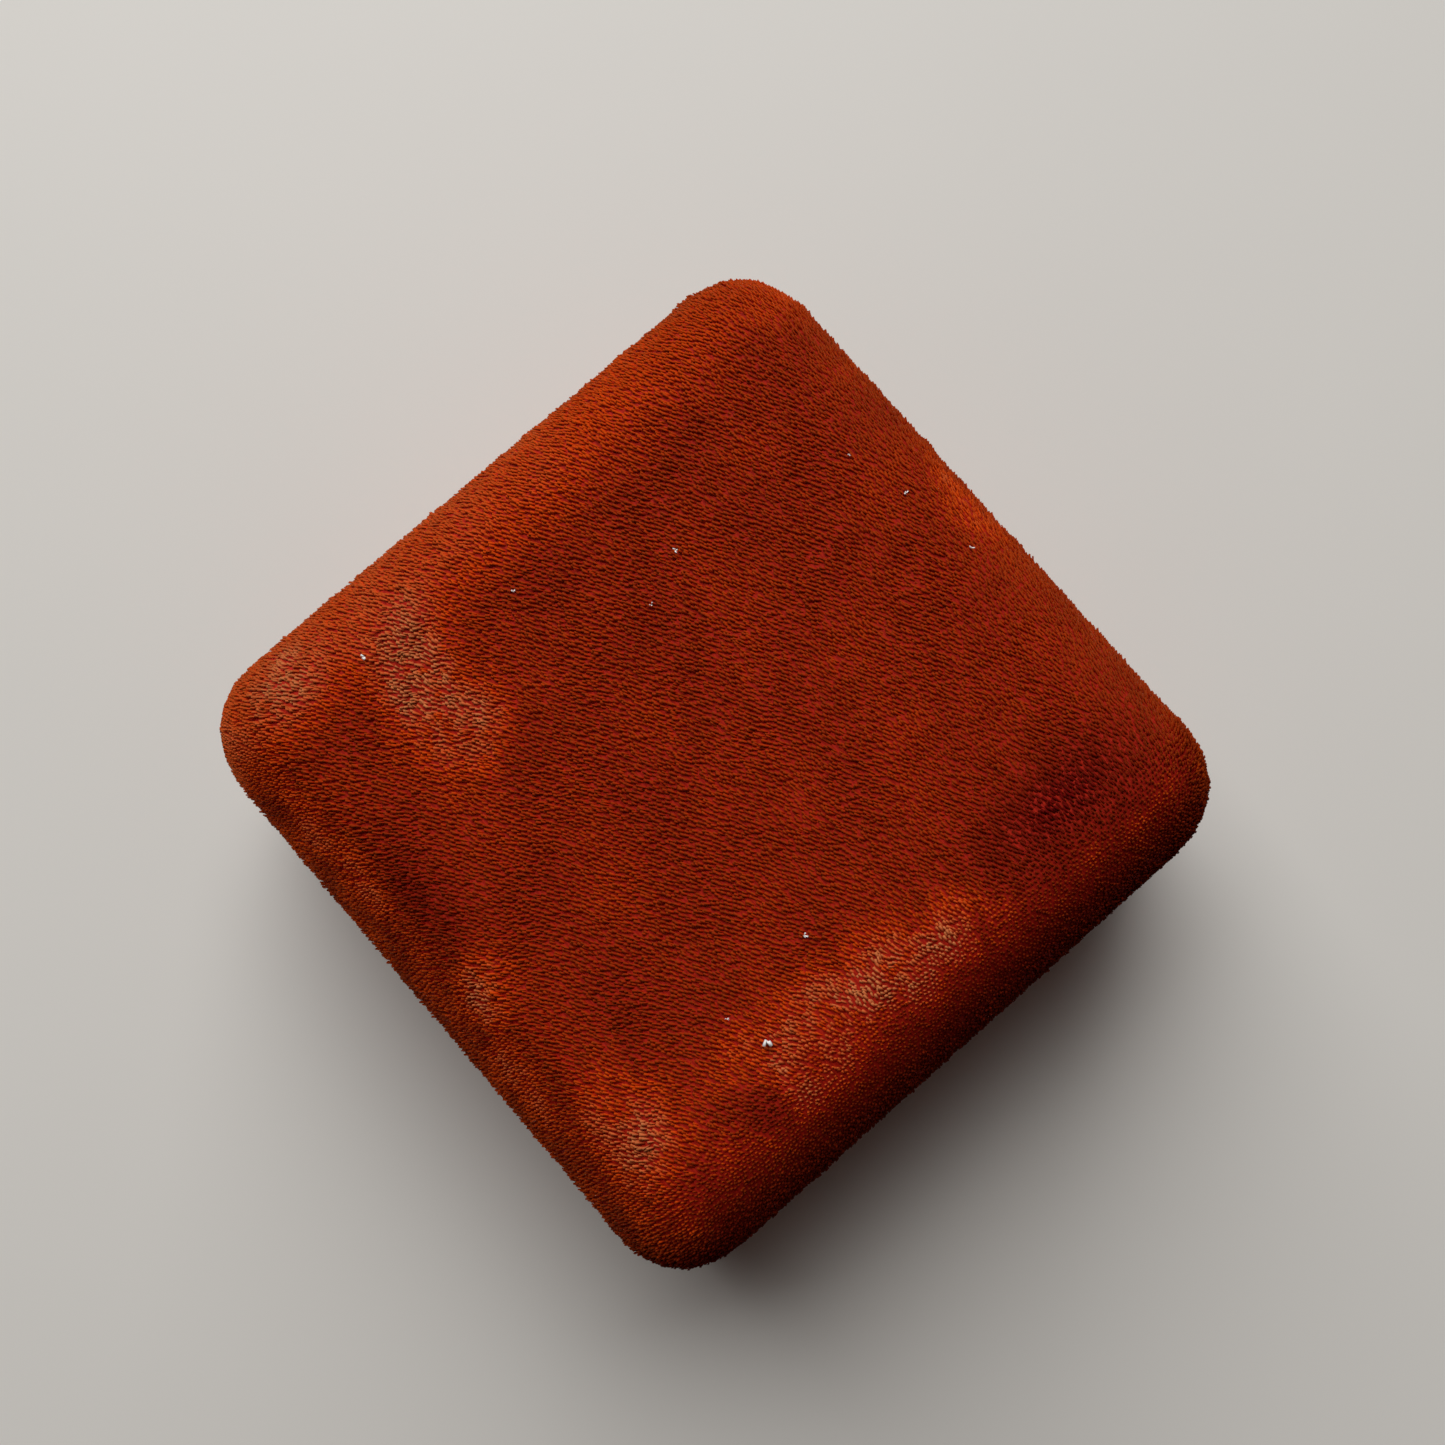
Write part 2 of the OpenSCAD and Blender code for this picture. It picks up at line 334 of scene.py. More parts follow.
def drape(across, along, start, pieces, side, crown=0.0):
    """Lays flat cloth on the case. It lies flat over the square of the corner centres, but for a
    crown, which is the product of two squared cosines. What hangs over that square by some
    distance runs that far along the wall's profile, straight out from the nearest point of the
    square, so that a corner is a fan. The cloth bunches a little there, so the fan stands out
    further by a share that is greatest on the diagonal. Returns each point, its outward normal,
    and where the cloth's own two directions come to point. side is 1 for the lid and -1 for the
    base."""
    core = np.stack([np.clip(across, -FLAT, FLAT), np.clip(along, -FLAT, FLAT)], -1)
    over = np.stack([across, along], -1) - core
    reach = np.linalg.norm(over, axis=-1)
    outward = over / np.maximum(reach, 1e-9)[..., None]
    outward = np.where(reach[..., None] > 1e-9, outward, [1.0, 0.0])
    out, height, heading = follow(reach, start, pieces)
    bunched = np.where((across < 0) & (along < 0), 0.085, 0.05)
    out = out * (1 + bunched * (2 * outward[..., 0] * outward[..., 1]) ** 2)
    height = height + crown * (np.cos(core / FLAT * QUARTER) ** 2).prod(-1)
    cosine, sine = np.cos(heading)[..., None], np.sin(heading)[..., None]
    point = tuck_in(np.concatenate([core + outward * out[..., None], height[..., None]], -1))
    normal = side * np.concatenate([-outward * sine, cosine], -1)
    down = np.concatenate([outward * cosine, sine], -1)
    beside = np.stack([-outward[..., 1], outward[..., 0], np.zeros(reach.shape)], -1)
    first = outward[..., :1] * down - outward[..., 1:] * beside
    second = outward[..., 1:] * down + outward[..., :1] * beside
    return point, normal, first, second


def thicken(piece, thickness):
    """Gives a sheet its thickness inwards from its faces, and closes its edges."""
    wall = piece.modifiers.new("thickness", "SOLIDIFY")
    wall.thickness = thickness
    wall.offset = -1


def tuft_places(reach, gap, seed):
    """Places on the flat cloth: a hexagonal lattice, each point moved a little at random. The
    cloth beyond a corner of the square is gathered onto a corner of the case. So tufts are left
    out there at random, and the share kept is the corner's radius over the distance beyond the
    square, times how much closer than elsewhere they may stand."""
    draw = np.random.default_rng(seed)
    far = FLAT + reach
    rows = np.arange(-far, far, gap * np.sqrt(0.75))
    places = np.arange(-far, far, gap)
    across = (places[None, :] + (np.arange(len(rows)) % 2 * gap / 2)[:, None]).ravel()
    along = np.repeat(rows, len(places))
    across = across + draw.normal(0, 0.13 * gap, len(across))
    along = along + draw.normal(0, 0.13 * gap, len(along))
    over = np.hypot(np.maximum(abs(across) - FLAT, 0), np.maximum(abs(along) - FLAT, 0))
    corner = (abs(across) > FLAT) & (abs(along) > FLAT)
    share = CORNER_CROWDING * (CORNER - PILE) / np.maximum(over, MM)
    room = np.where(corner, np.minimum(1, share), 1)
    kept = draw.uniform(0, 1, len(across)) < room
    return across[kept], along[kept], over[kept]


def drift(across, along, wave, seed):
    """Soft random change from about -1 to 1: the sum of twelve plane waves in random directions."""
    draw = np.random.default_rng(seed)
    angle, phase = draw.uniform(0, 2 * np.pi, (2, 12, 1))
    number = 2 * np.pi / wave * draw.uniform(0.6, 1.4, (12, 1))
    waves = np.sin(number * (np.cos(angle) * across + np.sin(angle) * along) + phase)
    return waves.sum(0) / 3.4


def stand_pile(name, root, normal, lay, width, seed, **marks):
    """Cut pile: locks of fibre that stand on their roots. Each is a three-sided prism along its
    own leaning direction, a little wider at its tip, with its flat side up. lay is the whole
    vector from root to tip, and a foot is sunk 0.15 mm below its root. The finish reads the
    marks, which have a value per lock, and tip, which is 0 at a root and 1 at a tip, and tone,
    which is random per lock. Each lock has its own cell of the map, with its three sides next to
    each other across it and its tip on top."""
    draw = np.random.default_rng(seed)
    count = len(root)
    length = np.linalg.norm(lay, axis=1, keepdims=True)
    along = lay / length + draw.normal(0, 0.08, (count, 3))
    along /= np.linalg.norm(along, axis=1, keepdims=True)
    side = np.cross(along, normal) + 1e-6
    side /= np.linalg.norm(side, axis=1, keepdims=True)
    other = np.cross(along, side)
    angle = QUARTER + draw.normal(0, 0.3, (count, 1)) + np.arange(3) * (2 * np.pi / 3)
    ring = (side[:, None] * np.cos(angle)[..., None]
            + 0.75 * other[:, None] * np.sin(angle)[..., None])
    ring *= np.reshape(width, (-1, 1, 1)) * draw.uniform(0.8, 1.25, (count, 1, 1))
    foot = root[:, None] - 0.15 * MM * normal[:, None] + 0.75 * ring
    head = (root + along * length * draw.uniform(0.86, 1.12, (count, 1)))[:, None] + ring
    points = np.concatenate([foot, head], 1).reshape(-1, 3)
    first = np.arange(count)[:, None] * 6
    sides = [first + [k, (k + 1) % 3, (k + 1) % 3 + 3, k + 3] for k in range(3)]
    piece = build(name, points, *sides, first + [3, 4, 5], first + [2, 1, 0])
    cells = int(np.ceil(np.sqrt(count)))
    cell = np.stack([np.arange(count) % cells, np.arange(count) // cells], -1)
    places = [[[k, 0], [k + 1, 0], [k + 1, 2.4], [k, 2.4]] for k in range(3)]
    places += [[[0, 2.5], [3, 2.5], [1.5, 3]], [[0, 0], [3, 0], [1.5, 0.3]]]
    flat = [(cell[:, None] + 0.1 + 0.8 * np.array(place) / 3) / cells for place in places]
    chart = piece.data.uv_layers.new(name="OFBake")
    chart.data.foreach_set("uv", np.concatenate([part.ravel() for part in flat]).astype(np.float32))
    values = {mark: np.repeat(value, 6) for mark, value in marks.items()}
    values["tip"] = np.tile([0.0, 0, 0, 1, 1, 1], count)
    values["tone"] = np.repeat(draw.uniform(0, 1, count), 6)
    for mark, value in values.items():
        stored = piece.data.attributes.new(mark, "FLOAT", "POINT")
        stored.data.foreach_set("value", value.astype(np.float32))
    return piece


def pile_fibre(name, roots, tips, sheen):
    """Pile of dyed viscose: each lock is a little lighter or darker than the next, darker where
    it is fresh and paler where it is rubbed. roots and tips are colours at a mark of 0, 0.25,
    0.42 and 1: fresh, plain, brushed and rubbed; on the lid the fresh colour also gives painted
    shade and the brushed one a painted highlight. Its ends scatter light at a glancing angle."""
    material, tree, shader = start_finish(
        name, Sheen_Weight=0.14, Sheen_Roughness=0.4, Sheen_Tint=(*sheen, 1),
        Specular_IOR_Level=0.03)
    mark = {key: add_node(tree, "Attribute", attribute_name=key).outputs["Fac"]
            for key in ("tip", "tone", "worn")}
    tint = spread(tree, mark["tone"], 0.87, 1.1)
    ends = []
    for colours in (roots, tips):
        scale = add_node(tree, "ValToRGB", {"Fac": mark["worn"]})
        ramp = scale.color_ramp.elements
        ramp.new(0.25)
        ramp.new(0.42)
        for step, place, colour in zip(ramp, (0, 0.25, 0.42, 1), colours):
            step.position = place
            step.color = (*colour, 1)
        ends.append(add_node(tree, "VectorMath", {0: scale.outputs["Color"], "Scale": tint},
                             operation="SCALE").outputs["Vector"])
    height = add_node(tree, "Math", {0: mark["tip"], 1: 0.8}, operation="POWER").outputs[0]
    shade = add_node(tree, "MixRGB", {"Fac": height, "Color1": ends[0], "Color2": ends[1]})
    tree.links.new(shade.outputs["Color"], shader.inputs["Base Color"])
    tree.links.new(spread(tree, mark["tone"], 0.5, 0.75), shader.inputs["Roughness"])
    return material


def woven_back(name, dark, light):
    """The dense body of the pile: fine rows between its ends, dyed with them and in their shade."""
    material, tree, shader = start_finish(name, Specular_IOR_Level=0.2)
    place = add_node(tree, "TexCoord").outputs["Object"]
    threads = add_node(tree, "TexWave", {"Vector": place, "Scale": 950, "Distortion": 1.5,
                                         "Detail": 1}).outputs["Fac"]
    tree.links.new(two_tone(tree, threads, dark, light), shader.inputs["Base Color"])
    tree.links.new(spread(tree, grain(tree, 800), 0.7, 0.9), shader.inputs["Roughness"])
    raise_bumps(tree, shader, threads, 0.06 * MM)
    return material


def covering(name, start, pieces, side, from_reach, crown=0.0):
    """A velvet's woven back, closed in the middle or open there. Its rings are one outline of
    the flat cloth, drawn in evenly towards the middle, and each is then laid on the case."""
    reach = sum(length for length, turn in pieces)
    edge, outward = outline((-FLAT - reach, -FLAT - reach), (FLAT + reach, FLAT + reach),
                            [reach] * 4, 20, 60)
    if from_reach:
        share = np.linspace(from_reach - reach, 0, 60)[None, :, None]
        flat = edge[:, None] + outward[:, None] * share
    else:
        flat = edge[:, None] * np.linspace(1 / 90, 1, 90)[None, :, None]
    points, _, _, _ = drape(flat[..., 0], flat[..., 1], start, pieces, side, crown)
    rows, columns = flat.shape[:2]
    faces = [quads(rows, columns, True)]
    points = points.reshape(-1, 3)
    if not from_reach:
        first = np.arange(rows) * columns
        middle = drape(np.zeros(1), np.zeros(1), start, pieces, side, crown)[0]
        points = np.concatenate([points, middle])
        faces.append(np.stack([np.full(rows, rows * columns), np.roll(first, -1), first], -1))
    if side > 0:
        faces = [face[:, ::-1] for face in faces]
    return build(name, points, *faces)


def pile_on(name, start, pieces, side, low, high, half, wear_and_shading, seed, crown=0.0):
    """The pile of one velvet between two reaches, on its back half (1) or its front half (-1).
    Every lock leans along the nap, which is one direction of the flat cloth that turns evenly
    along one way and a little at random. The function passed in gives how rubbed the pile is,
    with painted shading on the lid, and how upright it stands. A rubbed lock is up to 3 degrees
    flatter and 7% shorter, and an upright one is bent towards the case's own upwards. The locks
    get shorter over the last 1.6 mm before the rolled edge."""
    reach = sum(length for length, turn in pieces)
    across, along, over = tuft_places(reach, TUFT_GAP, seed)
    kept = (over >= low) & (over < min(high, reach - 0.1 * MM)) & ((along > 0) == (half > 0))
    across, along, over = across[kept], along[kept], over[kept]
    root, normal, first, second = drape(across, along, start, pieces, side, crown)
    worn, upright = wear_and_shading(across, along)
    fanned = (NAP_FAN_WAY[0] * across + NAP_FAN_WAY[1] * along) / MM
    turn = np.radians(NAP_TURN - NAP_FAN * fanned
                      + 5 * drift(across, along, 11 * MM, seed + 1)
                      + 26 * worn**2 * drift(across, along, 2.5 * MM, seed + 2))
    rubbed = np.clip(worn - 0.3, 0, 1)
    lean = np.radians(NAP_LEAN + 4 * rubbed * (1 - upright)
                      + 3 * drift(across, along, 5 * MM, seed + 3))
    nap = first * np.cos(turn)[:, None] + second * np.sin(turn)[:, None]
    way = normal * np.cos(lean)[:, None] + nap * np.sin(lean)[:, None]
    way = way + upright[:, None] * np.array([0, 0, 0.9])
    way /= np.linalg.norm(way, axis=1, keepdims=True)
    long = PILE / np.maximum((way * normal).sum(1), 0.45)
    long = long * np.clip((reach - over) / (1.6 * MM), 0.3, 1)
    long = long * (1 - 0.1 * rubbed + 0.08 * drift(across, along, 3 * MM, seed + 4))
    return stand_pile(name, root, normal, way * long[:, None], LOCK_WIDTH, seed + 5, worn=worn)


def base_wear(across, along):
    """The base is a little more worn than plain pile, with slow random change, and nowhere
    upright."""
    return 0.3 + 0.05 * drift(across, along, 12 * MM, 71), np.zeros(across.shape)


# The velvet's back and the locks' roots are a lighter red than the tips: painted light that stands in
# for light scattered down through the pile between the locks.
back_finish = woven_back("velvet_back", (0.32, 0.006, 0.001), (0.43, 0.013, 0.001))
pile_finish = pile_fibre(
    "velvet_pile",
    ((0.17, 0.001, 0.001), (0.60, 0.007, 0.001), (0.66, 0.011, 0.001), (0.5, 0.02, 0.004)),
    ((0.10, 0.001, 0.001), (0.25, 0.029, 0.002), (0.50, 0.056, 0.002), (0.52, 0.165, 0.055)),
    (1.0, 0.3, 0.06))
base_velvet = covering("base_velvet_back", BASE_START, BASE_PIECES, -1, 1.6 * MM)
thicken(base_velvet, BACKING)
settle(base_velvet, back_finish, "base", "velvet", "base_velvet")
for name, half in (("back", 1), ("front", -1)):
    part = pile_on("base_pile_" + name, BASE_START, BASE_PIECES, -1, 4.3 * MM, NO_LIMIT, half,
                   base_wear, 100)
    settle(part, pile_finish, "base", "velvet")

# ---------------------------------------------------------------------------------------------
# Rims, hinge and pin. Each rim is pressed from brass sheet and gilt. It clips over the edge of
# its velvet, and its knuckles turn on a steel pin at the back.


def gilt():
    """Thin gilding on pressed brass: bright, a little cloudy, with hair scratches along x."""
    material, tree, shader = start_finish("gilt", Metallic=1.0)
    cloud = grain(tree, 120, 4)
    tree.links.new(two_tone(tree, cloud, (0.68, 0.44, 0.16), (0.83, 0.6, 0.27)),
                   shader.inputs["Base Color"])
    scratches = grain(tree, 2200, 2, (0.06, 1, 1))
    tree.links.new(spread(tree, scratches, 0.2, 0.38), shader.inputs["Roughness"])
    raise_bumps(tree, shader, scratches, 0.01 * MM)
    return material


def drawn_steel(name, low, high):
    """Bright steel with fine draw marks round it, and a little darker where oil has dried."""
    material, tree, shader = start_finish(name, Metallic=1.0)
    marks = grain(tree, 3000, 2, (0.2, 1, 1))
    tree.links.new(two_tone(tree, grain(tree, 200), low, high), shader.inputs["Base Color"])
    tree.links.new(spread(tree, marks, 0.22, 0.4), shader.inputs["Roughness"])
    raise_bumps(tree, shader, marks, 0.01 * MM)
    return material


gilt_finish = gilt()
paint("base_rim", gilt_finish)
paint("lid_rim", gilt_finish)
paint("hinge_pin", drawn_steel("pin_steel", (0.42, 0.42, 0.43), (0.6, 0.6, 0.6)))

# ---------------------------------------------------------------------------------------------
# Bow springs. Two strips of blue-tempered spring steel, bent to a C, grip a tongue of each rim.
# They bend as the lid turns and snap it open or shut.

SPRING_T = 0.3 * MM


def bow_spring(node):
    """A strip carried along a C: two straight arms with a half circle between them, open towards
    the hinge. The section is the strip's width by its thickness, with both edges eased."""
    low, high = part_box(node)
    bow_r = (high.z - low.z) / 2 - SPRING_T / 2
    centre_y = low.y + SPRING_T / 2 + bow_r
    arm = high.y - centre_y
    turn = np.linspace(QUARTER, 3 * QUARTER, 36)
    y = np.concatenate([[high.y, high.y - arm / 2], centre_y + bow_r * np.cos(turn),
                        [high.y - arm / 2, high.y]])
    z = np.concatenate([[SEAM + bow_r] * 2, SEAM + bow_r * np.sin(turn), [SEAM - bow_r] * 2])
    out_y = np.concatenate([[0, 0], np.cos(turn), [0, 0]])
    out_z = np.concatenate([[1, 1], np.sin(turn), [-1, -1]])
    half = (high.x - low.x) / 2
    ease = 0.25 * SPRING_T
    across = np.array([-half, -half + ease, half - ease, half, half, half - ease, -half + ease, -half])
    through = np.array([-0.5, -1, -1, -0.5, 0.5, 1, 1, 0.5]) * SPRING_T / 2
    points = np.stack(np.broadcast_arrays(
        (low.x + half + across)[:, None], y + through[:, None] * out_y,
        z + through[:, None] * out_z), -1)
    rows, columns = points.shape[:2]
    caps = np.stack([np.arange(rows) * columns, np.arange(rows)[::-1] * columns + columns - 1])
    return build(node.replace("bow_", "") + "_strip", points.reshape(-1, 3),
                 quads(rows, columns, True), caps)


spring_finish = drawn_steel("spring_steel", (0.16, 0.17, 0.2), (0.3, 0.31, 0.34))
for node in ("bow_spring_left", "bow_spring_right"):
    spring = bow_spring(node)
    spring.data.materials.append(spring_finish)
    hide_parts(node)
    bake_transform(spring)

# ---------------------------------------------------------------------------------------------
# Base lining. A strip of satin is glued round inside the wall, with its ends butted at the back.


def satin():
    """Cream satin: fine warp threads over the filling, with a soft broad gloss across them."""
    material, tree, shader = start_finish(
        "satin", Specular_IOR_Level=0.6, Sheen_Weight=0.2, Sheen_Roughness=0.3)
    threads = grain(tree, 2600, 2, (1, 1, 0.12))
    tree.links.new(two_tone(tree, threads, (0.56, 0.47, 0.33), (0.74, 0.66, 0.5)),
                   shader.inputs["Base Color"])
    tree.links.new(spread(tree, threads, 0.24, 0.4), shader.inputs["Roughness"])
    raise_bumps(tree, shader, threads, 0.02 * MM)
    return material


def side_lining(name, node, seed, taller=0.0):
    """A strip of satin folded round a thin card: up its back, over its top edge, down its front
    and under, carried round the wall inside. Its front has small gathers, waves of uneven length
    that are 0.1 mm deep at mid-height and nothing at the two folds. taller is how far its top
    fold stands above the solid that it replaces, in mm."""
    low, high = (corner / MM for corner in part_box(node))
    high.z += taller
    edge, outward = outline((low.x, low.x), (high.x, high.x), [high.x - FLAT / MM] * 4, 28, 150)
    gone = np.concatenate([[0], np.cumsum(np.linalg.norm(np.diff(edge, axis=0), axis=1))])
    gather = drift(gone, 0 * gone, 3.4, seed)[:, None]
    fold = np.linspace(0, np.pi, 7)
    front = np.linspace(high.z - 0.2, low.z + 0.2, 16)
    height = np.concatenate([
        np.linspace(low.z + 0.45, high.z - 0.3, 5), high.z - 0.2 + 0.2 * np.sin(fold),
        front[1:-1], low.z + 0.2 - 0.2 * np.sin(fold)])
    out = np.concatenate([np.full(5, -0.05), -0.25 + 0.2 * np.cos(fold), np.full(14, -0.45),
                          -0.25 - 0.2 * np.cos(fold)])
    share = np.zeros(len(out))
    share[12:26] = np.sin(np.linspace(0, np.pi, 16))[1:-1]
    out = out + 0.1 * share * gather
    points = np.concatenate([edge[:, None] + outward[:, None] * out[..., None],
                             np.broadcast_to(height[:, None], (*out.shape, 1))], -1) * MM
    piece = build(name, points.reshape(-1, 3), quads(*out.shape, True))
    thicken(piece, 0.08 * MM)
    return piece


satin_finish = satin()
base_lining = side_lining("base_satin_strip", "base_side_lining", 31)
settle(base_lining, satin_finish, "base", "satin", "base_side_lining")

# ---------------------------------------------------------------------------------------------
# Ring cushion. Two blocks of foam on a card, each wrapped in cream velvet. Their wrapped edges
# meet in the slot that holds a ring.

CUSHION_LOCKS = 24000
CUSHION_PILE = 0.45 * MM
CUSHION_LOCK_WIDTH = 0.085 * MM


def foam():
    """Open-celled foam, slightly yellowed: round pores about 0.3 mm across, with painted shade in their
    middles.
    """
    material, tree, shader = start_finish("foam", Specular_IOR_Level=0.15)
    place = add_node(tree, "TexCoord").outputs["Object"]
    pores = add_node(tree, "TexVoronoi", {"Vector": place, "Scale": 3200}).outputs["Distance"]
    tree.links.new(two_tone(tree, pores, (0.45, 0.38, 0.22), (0.66, 0.6, 0.42)),
                   shader.inputs["Base Color"])
    tree.links.new(spread(tree, pores, 0.85, 0.98), shader.inputs["Roughness"])
    raise_bumps(tree, shader, pores, 0.1 * MM, 0.8)
    return material


def block(name, low, high, radii, edge):
    """A padded block: a flat underside, upright sides that are round at both edges, and a flat
    top. The rounding is a quarter circle, and below it is at most a fifth of the height."""
    rings = 18
    border = outline(low[:2], high[:2], radii)
    lower = min(edge, (high[2] - low[2]) * 0.2)
    turn = np.linspace(0, QUARTER, 8)
    way = np.linspace(0.06, 1, rings)
    inset = np.concatenate([np.full(rings, lower), lower * (1 - np.sin(turn[1:])),
                            edge * (1 - np.cos(turn[:-1])), np.full(rings, edge)])
    scale = np.concatenate([way, np.ones(2 * (len(turn) - 1)), way[::-1]])
    height = np.concatenate([np.full(rings, low[2]), low[2] + lower * (1 - np.cos(turn[1:])),
                             high[2] - edge * (1 - np.sin(turn[:-1])), np.full(rings, high[2])])
    middle = (np.array(low[:2]) + high[:2]) / 2
    return stack_rings(name, border, inset, scale, height, middle)


def swell(piece, voxel, pressure, cap):
    """Puffs a closed piece by cloth simulation. It is remeshed evenly and blown up for twenty
    steps without gravity, no point moves further than the cap, and one subdivision smooths it."""
    remesh = piece.modifiers.new("even", "REMESH")
    remesh.mode = "VOXEL"
    remesh.voxel_size = voxel
    keep_applied(piece)
    start = points_of(piece.data)
    cloth = piece.modifiers.new("cloth", "CLOTH")
    cloth.settings.use_pressure = True
    cloth.settings.uniform_pressure_force = pressure
    cloth.settings.effector_weights.gravity = 0
    for step in range(1, 21):
        bpy.context.scene.frame_set(step)
    keep_applied(piece)
    bpy.context.scene.frame_set(1)
    moved = points_of(piece.data) - start
    far = np.linalg.norm(moved, axis=1, keepdims=True)
    moved *= np.minimum(1, cap / np.maximum(far, 1e-9))
    piece.data.vertices.foreach_set("co", (start + moved).astype(np.float32).ravel())
    piece.modifiers.new("smooth", "SUBSURF").levels = 1
    keep_applied(piece)
    piece.data.polygons.foreach_set("use_smooth", np.ones(len(piece.data.polygons), bool))
    return piece


def keep_applied(piece):
    """Puts what the modifiers make into the piece's own mesh, and removes them."""
    shaped = piece.evaluated_get(bpy.context.evaluated_depsgraph_get())
    mesh = bpy.data.meshes.new_from_object(shaped)
    piece.modifiers.clear()
    piece.data = mesh


def points_of(mesh):
    """The mesh's points, as rows of three."""
    points = np.empty(len(mesh.vertices) * 3, np.float32)
    mesh.vertices.foreach_get("co", points)
    return points.reshape(-1, 3).astype(float)


def faces_of(mesh):
    """Each face's middle, normal and area."""
    count = len(mesh.polygons)
    middle, normal, area = np.empty(count * 3), np.empty(count * 3), np.empty(count)
    mesh.polygons.foreach_get("center", middle)
    mesh.polygons.foreach_get("normal", normal)
    mesh.polygons.foreach_get("area", area)
    return middle.reshape(-1, 3), normal.reshape(-1, 3), area


def cushion_half(side, low, high, radii, seed):
    """One half: its foam, its velvet swollen by simulation, and its pile, whose locks stand on
    random points of the velvet's faces and lean a little towards the front."""
    core = block("cushion_foam_block_" + side, (low + 1.0 * MM * np.array([1, 1, 0])).tolist(),
                 (high - 1.0 * MM).tolist(), [radius - 1 * MM for radius in radii], 2 * MM)
    settle(core, foam_finish, "base", "foam", "cushion_foam_" + side)
    cover = block("cushion_cover_" + side, (low + 0.35 * MM * np.array([1, 1, 0])).tolist(),
                  (high - 0.45 * MM).tolist(), radii, 2.4 * MM)
    swell(cover, 1.1 * MM, 4, 0.35 * MM)
    settle(cover, cream_back, "base", "cushion_velvet", "cushion_velvet_" + side)
    middle, normal, area = faces_of(cover.data)
    draw = np.random.default_rng(seed)
    shown = middle[:, 2] > low[2] + 2 * MM
    share = np.where(shown, area, 0) / area[shown].sum()
    picked = draw.choice(len(area), CUSHION_LOCKS, p=share)
    root = middle[picked] + draw.normal(0, 0.16 * MM, (len(picked), 3))
    root -= normal[picked] * ((root - middle[picked]) * normal[picked]).sum(1, keepdims=True)
    way = normal[picked] + np.array([0.1, -0.5, 0]) + 0.15 * drift(
        root[:, 0], root[:, 1], 6 * MM, seed)[:, None]
    way *= CUSHION_PILE / np.linalg.norm(way, axis=1, keepdims=True)
    pile = stand_pile("cushion_pile_" + side, root, normal[picked], way, CUSHION_LOCK_WIDTH, seed + 1,
                      worn=0.3 + 0.15 * drift(root[:, 0], root[:, 1], 7 * MM, seed + 2))
    settle(pile, cream_pile, "base", "cushion_velvet")


paint("cushion_board", board_finish)
foam_finish = foam()
cream_back = woven_back("cushion_back", (0.52, 0.42, 0.28), (0.62, 0.52, 0.36))
cream_pile = pile_fibre(
    "cushion_pile", ((0.5, 0.4, 0.25),) * 4,
    ((0.58, 0.48, 0.33), (0.68, 0.58, 0.42), (0.72, 0.62, 0.47), (0.8, 0.72, 0.58)),
    (1.0, 0.95, 0.85))
for side, radii, seed in (("front", (2.4, 2.4, 5.9, 5.9), 200),
                          ("back", (5.9, 5.9, 2.4, 2.4), 300)):
    low, high = (np.array(corner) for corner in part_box("cushion_velvet_" + side))
    cushion_half(side, low, high, [radius * MM for radius in radii], seed)

# ---------------------------------------------------------------------------------------------
# Lid shell. The same styrene as the base's, but deeper and closed on top.

paint("lid_shell", shell_finish)

# ---------------------------------------------------------------------------------------------
# Lid wadding. A thin sheet of polyester wadding lies between the shell and the velvet, and
# rounds the lid's shoulders.

LID_START = (0.0, 33.2 * MM - PILE)
LID_PIECES = [((CORNER - PILE) * QUARTER, -QUARTER), (4.8 * MM, 0), (1.15 * MM * QUARTER, -QUARTER),
              (0.2 * MM, 0)]
WADDING_T = 0.9 * MM


def white_wadding(name):
    """Bonded wadding: white fibres that cross each other, with soft dents."""
    material, tree, shader = start_finish(name, Specular_IOR_Level=0.15, Sheen_Weight=0.3)
    fibres = grain(tree, 1800, 6, (1, 0.3, 1), 0.75)
    tree.links.new(two_tone(tree, fibres, (0.62, 0.61, 0.58), (0.86, 0.86, 0.84)),
                   shader.inputs["Base Color"])
    tree.links.new(spread(tree, fibres, 0.85, 0.98), shader.inputs["Roughness"])
    raise_bumps(tree, shader, fibres, 0.2 * MM)
    return material


wadding_finish = white_wadding("wadding")
below = (0.0, LID_START[1] - BACKING - 0.05 * MM)
wadding = covering("lid_wadding_sheet", below,
                   [((CORNER - PILE - BACKING - 0.05 * MM) * QUARTER * 0.82, -QUARTER * 0.82)], 1, 0)
thicken(wadding, WADDING_T)
settle(wadding, wadding_finish, "lid", "wadding", "lid_wadding")
